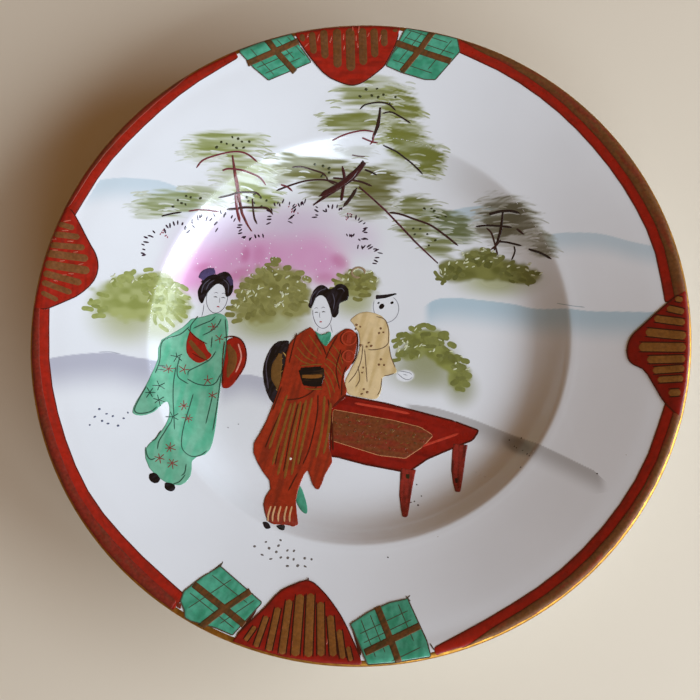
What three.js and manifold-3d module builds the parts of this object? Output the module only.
// A hand painted porcelain dessert plate: turned body, clear glaze, fired enamels and gilding.
// Millimetres, +Z up, origin on the axis in the plane of the foot. +Y points to the top of the painting.
import * as THREE from "three";
import { mergeVertices } from "three/addons/utils/BufferGeometryUtils.js";
import Module from "manifold-3d";

// Driving dimensions of the porcelain.
const RADIUS = 92.5;
const RIM_HEIGHT = 24.2;
const WELL_RADIUS = 49;
const WELL_HEIGHT = 6.8;
const SHOULDER_RADIUS = 61.6;
const SHOULDER_HEIGHT = 15;
const FOOT_RADIUS = 54.4;
const FOOT_WIDTH = 3.2;
const BASE_HEIGHT = 3.6;
const SEGMENTS = 60;

// Fired coats, from the clay outwards. Each keeps a small gap to the coat under it.
const GAP = 0.03;
const GLAZE = 0.25;
const ENAMEL = 0.12;
const GILDING = 0.3;

const FACE_EDGE = RADIUS - 1.3;
const OVER_RIM = RADIUS + 3;
const CURVE_STEPS = 2;

// The face from the middle to the edge, as radius and height: flat well, steep side, broad sloping border.
const FACE = [
  [0, WELL_HEIGHT],
  [WELL_RADIUS, WELL_HEIGHT],
  [WELL_RADIUS + 5, WELL_HEIGHT + 1.8],
  [WELL_RADIUS + 9, WELL_HEIGHT + 4.8],
  [SHOULDER_RADIUS - 1.1, SHOULDER_HEIGHT - 0.8],
  [SHOULDER_RADIUS, SHOULDER_HEIGHT],
  [75, 19.2],
  [FACE_EDGE, RIM_HEIGHT],
];

// The lip, from the face round to the back.
const LIP = [
  [RADIUS - GILDING - 0.3, RIM_HEIGHT - 0.2],
  [RADIUS - GILDING, RIM_HEIGHT - 0.9],
  [RADIUS - GILDING - 0.3, RIM_HEIGHT - 1.6],
];

// The back, from the lip down to the foot ring.
const BACK = [
  [FACE_EDGE, RIM_HEIGHT - 2],
  [75, 16.6],
  [64, 12.8],
  [60, 10],
  [57, 6.4],
  [FOOT_RADIUS + 0.8, 4.4],
];

// The foot ring and the recess inside it.
const FOOT = [
  [FOOT_RADIUS, 0.7],
  [FOOT_RADIUS - 0.6, 0],
  [FOOT_RADIUS - FOOT_WIDTH + 0.6, 0],
  [FOOT_RADIUS - FOOT_WIDTH, 0.7],
  [FOOT_RADIUS - FOOT_WIDTH - 0.8, BASE_HEIGHT],
  [0, BASE_HEIGHT],
];

const wasm = await Module();
wasm.setup();

const finishes = {
  clay: { color: "#d9d6cf", roughness: 0.75, metalness: 0 },
  glaze: { color: "#d4d8de", roughness: 0.1, metalness: 0 },
  gilding: { color: "#9a6a2c", roughness: 0.4, metalness: 0.6 },
  bronzeGold: { color: "#6b3d1c", roughness: 0.45, metalness: 0.2 },
  ironRed: { color: "#9e2a1f", roughness: 0.3, metalness: 0 },
  jadeGreen: { color: "#2ba37a", roughness: 0.2, metalness: 0 },
  mintGreen: { color: "#6fc3a0", roughness: 0.2, metalness: 0 },
  robeRed: { color: "#8f3a22", roughness: 0.3, metalness: 0 },
  black: { color: "#0e0c10", roughness: 0.25, metalness: 0 },
  plum: { color: "#4b4163", roughness: 0.25, metalness: 0 },
  cream: { color: "#d6c08f", roughness: 0.3, metalness: 0 },
  maroon: { color: "#5a2530", roughness: 0.3, metalness: 0 },
};

const plate = new THREE.Group();

function addPiece(name, geometry, finish) {
  const mesh = new THREE.Mesh(geometry, new THREE.MeshStandardMaterial(finishes[finish]));
  mesh.name = name;
  plate.add(mesh);
}

function toSolid(geometry) {
  const bare = geometry.clone();
  bare.deleteAttribute("normal");
  bare.deleteAttribute("uv");
  const merged = mergeVertices(bare);
  const vertProperties = new Float32Array(merged.attributes.position.array);
  const triVerts = new Uint32Array(merged.index.array);
  return new wasm.Manifold(new wasm.Mesh({ numProp: 3, vertProperties, triVerts }));
}

function toGeometry(solid) {
  const { vertProperties, triVerts } = solid.getMesh();
  const geometry = new THREE.BufferGeometry();
  geometry.setAttribute("position", new THREE.BufferAttribute(vertProperties, 3));
  geometry.setIndex(new THREE.BufferAttribute(triVerts, 1));
  geometry.computeVertexNormals();
  return geometry;
}

// Turns a profile of [radius, height] points that runs anticlockwise in the radius and height plane.
function turned(profile) {
  const points = profile.map(([radius, height]) => new THREE.Vector2(radius, height));
  return new THREE.LatheGeometry(points, SEGMENTS).rotateX(Math.PI / 2);
}

const lifted = (profile, lift) => profile.map(([radius, height]) => [radius, height + lift]);

// A coat of even thickness that lies on the face, from the axis to the edge of the face.
function faceCoat(lift, thickness) {
  return turned([...lifted(FACE, lift), ...lifted(FACE, lift + thickness).reverse()]);
}

function porcelainBody() {
  return turned([...FACE, ...LIP, ...BACK, ...FOOT].reverse());
}

// The glaze on the back runs from the root of the foot to the lip.
function glazeBack() {
  const back = BACK.slice(0, -1);
  const under = lifted(back, -GAP);
  const outside = lifted(back, -GAP - GLAZE).reverse();
  return turned([...outside, ...under, outside[0]]);
}

function glazeUnderBase() {
  const radius = FOOT_RADIUS - FOOT_WIDTH - 1.5;
  return turned([
    [0, BASE_HEIGHT - GAP - GLAZE],
    [radius, BASE_HEIGHT - GAP - GLAZE],
    [radius, BASE_HEIGHT - GAP],
    [0, BASE_HEIGHT - GAP],
  ]);
}

// A thin gold line round the outside of the lip.
function giltLipLine() {
  const outer = RADIUS;
  const inner = RADIUS - GILDING + GAP;
  const middle = RIM_HEIGHT - 0.9;
  return turned([
    [inner, middle - 0.6],
    [outer, middle - 0.4],
    [outer, middle + 0.4],
    [inner, middle + 0.6],
    [inner, middle - 0.6],
  ]);
}

// One coat for each painted layer, from the first, on the glaze, to the last.
const LAYERS = 4;
const coats = [];
for (let layer = 0; layer < LAYERS; layer += 1) {
  const lift = GAP + GLAZE + GAP + layer * (ENAMEL + GAP);
  coats.push(toSolid(faceCoat(lift, ENAMEL)));
}

// Runs of points: two points are a straight edge, more are a smooth curve, and runs meet at corners.
function outline(...runs) {
  const shape = new THREE.Shape();
  shape.moveTo(...runs[0][0]);
  for (const [, ...rest] of runs) {
    if (rest.length === 1) shape.lineTo(...rest[0]);
    else shape.splineThru(rest.map(([x, y]) => new THREE.Vector2(x, y)));
  }
  return shape;
}

// A closed smooth outline through its points.
function blob(...points) {
  return outline([...points, points[0]]);
}

function polygon(...points) {
  return new THREE.Shape(points.map(([x, y]) => new THREE.Vector2(x, y)));
}

// A brush stroke along a smooth path, as wide as its widths say at its ends and middle.
function brushStroke(path, widths) {
  const curve = new THREE.SplineCurve(path.map(([x, y]) => new THREE.Vector2(x, y)));
  const steps = Math.max(2, (path.length - 1) * CURVE_STEPS);
  const left = [];
  const right = [];
  for (let i = 0; i <= steps; i += 1) {
    const t = i / steps;
    const along = t * (widths.length - 1);
    const from = Math.min(Math.floor(along), widths.length - 2);
    const half = THREE.MathUtils.lerp(widths[from], widths[from + 1], along - from) / 2;
    const point = curve.getPoint(t);
    const across = curve.getTangent(t).rotateAround(new THREE.Vector2(), Math.PI / 2).multiplyScalar(half);
    left.push(point.clone().add(across));
    right.unshift(point.clone().sub(across));
  }
  return new THREE.Shape([...right, ...left]);
}

const polar = (radius, degrees) => {
  const angle = THREE.MathUtils.degToRad(degrees);
  return [radius * Math.cos(angle), radius * Math.sin(angle)];
};

// A stretch of border band: its inner edge passes through evenly spaced radii, its outer edge is the rim.
function borderBand(fromDegrees, toDegrees, innerRadii, inset = 0) {
  const step = (toDegrees - fromDegrees) / (innerRadii.length - 1);
  const inner = innerRadii.map((radius, i) => polar(radius + inset, fromDegrees + i * step));
  const outer = innerRadii.map((_, i) => polar(OVER_RIM, fromDegrees + i * step)).reverse();
  return outline(inner, [inner.at(-1), outer[0]], outer, [outer.at(-1), inner[0]]);
}

function painted(name, layer, finish, ...shapes) {
  const depth = RIM_HEIGHT + 10;
  const prisms = shapes.map((shape) =>
    toSolid(new THREE.ExtrudeGeometry(shape, { depth, bevelEnabled: false, curveSegments: CURVE_STEPS })),
  );
  const stencil = prisms.reduce((sum, prism) => sum.add(prism));
  addPiece(name, toGeometry(stencil.intersect(coats[layer])), finish);
}

addPiece("porcelain_body", porcelainBody(), "clay");
addPiece("glaze_face", faceCoat(GAP, GLAZE), "glaze");
addPiece("glaze_back", glazeBack(), "glaze");
addPiece("glaze_under_base", glazeUnderBase(), "glaze");
addPiece("gilt_lip_line", giltLipLine(), "gilding");

// Border bands, by the compass point between them. Angles are degrees from +X, anticlockwise.
const BANDS = {
  northeast: [3, 70.5, [86.3, 86.6, 86.2, 86.1, 86.6, 87.4, 88.5]],
  northwest: [113, 158.5, [89.8, 88.6, 87.9, 88.2, 88.6]],
  southwest: [176, 238.5, [88, 87.3, 86.9, 87, 86.3, 87.2]],
  southeast: [283, 344.5, [90, 87.2, 86.8, 86.8, 87.2, 87.5]],
};
const GILT_INSET = 2.4;
for (const [side, [from, to, radii]] of Object.entries(BANDS)) {
  painted(`red_band_${side}`, 0, "ironRed", borderBand(from, to, radii));
  painted(`gilt_band_${side}`, 1, "bronzeGold", borderBand(from + 0.5, to - 0.5, radii, GILT_INSET));
}

// Fan shapes that hang from the rim. Each ends outside the rim, where the coat stops.
const FANS = {
  north: [
    [-19, 91], [-15.7, 86], [-12.6, 82], [-8.5, 77.8], [-3, 75.4], [0, 75.1], [3, 76.2],
    [6.5, 79], [9.8, 83], [13, 88], [14.9, 91],
  ],
  west: [
    [-84.8, 37.5], [-82, 33.5], [-78, 25.8], [-75.9, 22], [-75.3, 18], [-76.5, 14], [-80, 10],
    [-84, 7.5], [-88.5, 5],
  ],
  south: [
    [-32, -85.5], [-28, -81.4], [-24, -77.5], [-20.5, -73.6], [-17, -71.8], [-13, -70.6], [-9.5, -73],
    [-6, -77], [-3, -81.5], [0, -87.5], [2, -91.6],
  ],
  east: [
    [87.5, -28.5], [84, -24], [82, -19.6], [79.5, -14.2], [76.3, -12], [75.5, -8.5], [76.8, -4.6],
    [80, -1.6], [85, 2.8], [91.5, 8],
  ],
};
for (const [side, edge] of Object.entries(FANS)) {
  const beyond = (point) => new THREE.Vector2(...point).setLength(OVER_RIM + 4).toArray();
  const [first, last] = [edge[0], edge.at(-1)];
  const outside = [last, beyond(last), beyond(first), first];
  const sides = outside.slice(1).map((point, i) => [outside[i], point]);
  painted(`red_fan_${side}`, 2, "ironRed", outline(edge, ...sides));
}

// Cornered green fields beside the north and south fans, each with a bold cross of two bars.
const LOZENGES = {
  northwest: {
    corners: [
      [-34.7, 86.2], [-34.5, 84], [-30.5, 79.8], [-26.2, 76.4], [-13.2, 81.7], [-16.4, 86], [-20, 90.2],
    ],
    bars: [[[-28, 89.2], [-18.2, 78.9]], [[-32.4, 81], [-17, 87.6]]],
  },
  northeast: {
    corners: [
      [15.9, 90.7], [12.1, 85], [9.2, 80.2], [14, 78], [21, 75.6], [24, 75.4], [31.3, 82.7], [29.8, 87.6],
    ],
    bars: [[[12, 86.6], [28.7, 80.2]], [[24.2, 89.2], [13.9, 78.2]]],
  },
  southwest: {
    corners: [
      [-36.8, -66.8], [-41.5, -69.8], [-45.8, -73.4], [-46.4, -76], [-44.5, -79.7], [-32.2, -84.6],
      [-25, -76.4],
    ],
    bars: [[[-43.4, -71.6], [-29.3, -82]], [[-28.3, -73.4], [-40.6, -81.9]]],
  },
  southeast: {
    corners: [
      [13.7, -75.3], [9, -76.3], [3.5, -78.6], [-1.5, -81.8], [1, -87], [3.4, -91.6], [19.6, -90], [18.6, -86],
    ],
    bars: [[[5.6, -77.4], [11.2, -90.6]], [[2.4, -88.9], [16.8, -82.2]]],
  },
};
const BAR_WIDTH = 1.8;
for (const [side, { corners, bars }] of Object.entries(LOZENGES)) {
  painted(`green_lozenge_${side}`, 2, "jadeGreen", polygon(...corners));
  const strokes = bars.map((ends) => brushStroke(ends, [BAR_WIDTH, BAR_WIDTH]));
  painted(`gilt_cross_${side}`, 3, "bronzeGold", ...strokes);
}

// The lady in mint green, on the left.
function mintLady() {
  const kimono = blob(
    [-50, 6], [-52.5, 3.2], [-58, -1.8], [-58.4, -8], [-60.4, -15], [-63.4, -21.5], [-63.6, -24.4],
    [-60.5, -24.7], [-57.3, -23], [-55.2, -20], [-54.2, -23], [-54.6, -27], [-57, -31.2], [-59.7, -34.6],
    [-58, -40], [-53.5, -43.8], [-49, -44.6], [-46.6, -41.5], [-46.7, -37], [-43.4, -34.8], [-42, -30],
    [-40.8, -17], [-39.6, -6], [-38.7, 2], [-39.6, 6.6], [-42.5, 7.8], [-46, 6.9],
  );
  painted("mint_kimono", 0, "mintGreen", kimono);
  const sash = blob(
    [-50.3, 2.3], [-48, 0.2], [-46, -1.2], [-44.8, -3.8], [-43.4, -5.4], [-46, -7.3], [-48.2, -7.4],
    [-50.8, -5], [-51.2, -1.5],
  );
  painted("mint_kimono_sash", 1, "ironRed", sash);
  const bow = blob(
    [-39.2, -0.8], [-37, 0.3], [-34.6, -0.8], [-33, -4.4], [-33.4, -8.6], [-35.6, -12.4], [-38, -15.1],
    [-40.3, -14.6], [-40, -9], [-39.4, -4.5],
  );
  painted("mint_kimono_bow", 1, "ironRed", bow);
  const hair = blob(
    [-48.4, 14.5], [-48, 12], [-46.9, 10.7], [-46.1, 12.6], [-44.6, 15.2], [-42.4, 17], [-40.4, 15.8],
    [-40, 13.4], [-39.2, 12.7], [-37.7, 14.6], [-38, 18.6], [-39.8, 20.8], [-42.6, 20], [-44.6, 18.4],
    [-47.3, 17],
  );
  painted("mint_lady_hair", 1, "black", hair);
  const hairBow = blob([-48.3, 18.6], [-47.4, 20.8], [-44.6, 22], [-43.2, 20.6], [-45.2, 18.9]);
  painted("mint_lady_hair_bow", 1, "plum", hairBow);
  const leftShoe = blob([-57.9, -41.6], [-56, -41.2], [-54.8, -43.2], [-56, -44.3], [-57.7, -43.3]);
  painted("mint_lady_shoe_left", 1, "black", leftShoe);
  const rightShoe = blob([-53.5, -44], [-51.4, -44], [-50.6, -45.6], [-51.6, -46.5], [-53.3, -45.7]);
  painted("mint_lady_shoe_right", 1, "black", rightShoe);
}

// The lady in red, in the middle.
function redLady() {
  const drumBow = blob(
    [-20.5, -1], [-24, -1.3], [-26.6, -4.4], [-28.2, -10], [-27, -16.5], [-24.6, -20.1], [-23, -17],
    [-21, -12],
  );
  painted("drum_bow", 1, "black", drumBow);
  const kimono = blob(
    [-14, 3], [-17, 1.4], [-20.6, -2.4], [-21.8, -9], [-24.2, -18], [-27.4, -26.5], [-30.6, -32.6],
    [-28.6, -38.4], [-25, -43.8], [-26.8, -48.4], [-25.6, -53], [-23.8, -55.2], [-20, -55.4],
    [-16.7, -55.6], [-17.8, -49], [-16.6, -43.4], [-14.6, -39.6], [-13.2, -43.6], [-11.2, -45.2],
    [-9.4, -40.6], [-7.4, -37], [-8.3, -33], [-8.2, -26], [-7.6, -21.4], [-3.2, -17.9], [-4.2, -12],
    [-1.7, -8.4], [-0.5, -4], [-0.2, 0.4], [-3, 2.5], [-6.6, 0.4], [-9.5, -2.4], [-12.4, 1.2],
  );
  painted("red_kimono", 2, "robeRed", kimono);
  const hair = blob(
    [-14.9, 9.6], [-13.9, 8.8], [-12.4, 12.3], [-10.2, 12.6], [-8.6, 9.6], [-7.5, 5.8], [-5.8, 7],
    [-5.4, 10.3], [-2.9, 11.4], [-3, 15], [-5.6, 16.5], [-8.2, 14.6], [-10.6, 16.2], [-13.2, 14.6],
  );
  painted("red_lady_hair", 1, "black", hair);
  const collar = blob([-12.9, 1.8], [-10.6, 0.6], [-8.1, 1.6], [-8.2, -1], [-9.6, -3], [-11.4, -1]);
  painted("green_collar", 3, "jadeGreen", collar);
  const sash = polygon([-17.6, -10], [-10, -9.4], [-9.8, -12], [-10.8, -15], [-16.2, -14.6], [-17, -12.2]);
  painted("black_sash", 3, "black", sash);
  const underskirt = blob(
    [-17.9, -44.6], [-16.4, -44.4], [-14.6, -49.6], [-14.6, -52.1], [-16.4, -51], [-17.9, -48],
  );
  painted("green_underskirt", 0, "jadeGreen", underskirt);
  const leftShoe = blob([-26.3, -54.7], [-24.9, -54.8], [-23.9, -56.4], [-25.4, -56.6]);
  painted("red_lady_shoe_left", 1, "black", leftShoe);
  const rightShoe = blob([-22.6, -55.7], [-20.4, -55.4], [-20.2, -57], [-21.6, -56.8]);
  painted("red_lady_shoe_right", 1, "black", rightShoe);
}

// The child behind the table.
function child() {
  const robe = blob(
    [-2.4, 5], [0, 7], [3.4, 7.5], [7.6, 5.8], [9.4, 2], [9.4, -4], [10.6, -8.6], [11.4, -11.2],
    [7.4, -12.4], [6.9, -16], [5.4, -19], [1, -18.4], [-3, -17.4], [-4, -14], [-2, -9.6], [0.2, -4.6],
    [0.2, 1],
  );
  painted("cream_robe", 0, "cream", robe);
  painted("child_fringe", 0, "black", brushStroke([[5.4, 12], [8.2, 12.2], [11.6, 13]], [1.3, 1.1, 0.4]));
}

// The low red table between the figures: a slanting top, its gilded panel and two legs.
function redTable() {
  const top = polygon(
    [-8, -20.9], [-4, -17.8], [8, -20.3], [18, -23], [28, -25.8], [34.8, -28.5], [33, -31.2], [26.5, -33.8],
    [20, -36.5], [14.2, -40.4], [2, -38], [-6, -35.8], [-8.2, -35.5],
  );
  painted("table_top", 0, "ironRed", top);
  const panel = polygon(
    [-7.2, -22], [10, -25.3], [18, -27.4], [21.6, -29.8], [18.6, -33], [13.6, -36.3], [6, -35.4],
    [-7.6, -31],
  );
  painted("table_panel", 1, "bronzeGold", panel);
  const frontLeg = brushStroke([[14.4, -39.4], [13.4, -47], [13.3, -53.2]], [4.4, 3.4, 1.4]);
  painted("table_leg_front", 1, "maroon", frontLeg);
  const backLeg = brushStroke([[29.4, -32.4], [28.4, -40], [28.3, -46.2]], [4.2, 3.6, 1.4]);
  painted("table_leg_back", 1, "maroon", backLeg);
}

// Trunks and branches of the pines, each one long stroke.
function pines() {
  const trunks = {
    pine_trunk_left: [[[-37.4, 54.6], [-36.4, 47], [-35.4, 39], [-32.4, 33.4]], [0.5, 1.1, 0.9, 0.4]],
    pine_trunk_middle: [[[2.2, 54.6], [-1.8, 50.4], [-7, 46.6], [-13.8, 41.6]], [1.4, 2.2, 1.6, 0.4]],
    long_branch: [[[0.4, 47.4], [8.4, 39.6], [17.6, 29], [24.2, 22.2]], [0.5, 0.6, 0.6, 0.4]],
    pine_trunk_top: [[[7.4, 68.6], [6.6, 63.4], [4.8, 59.6]], [0.6, 1.2, 0.5]],
    pine_trunk_right: [[[43.6, 37], [43, 31.6], [41, 26]], [0.5, 0.9, 0.5]],
  };
  for (const [name, [path, widths]] of Object.entries(trunks)) {
    painted(name, 1, "maroon", brushStroke(path, widths));
  }
}

mintLady();
redLady();
child();
redTable();
pines();

export default plate;
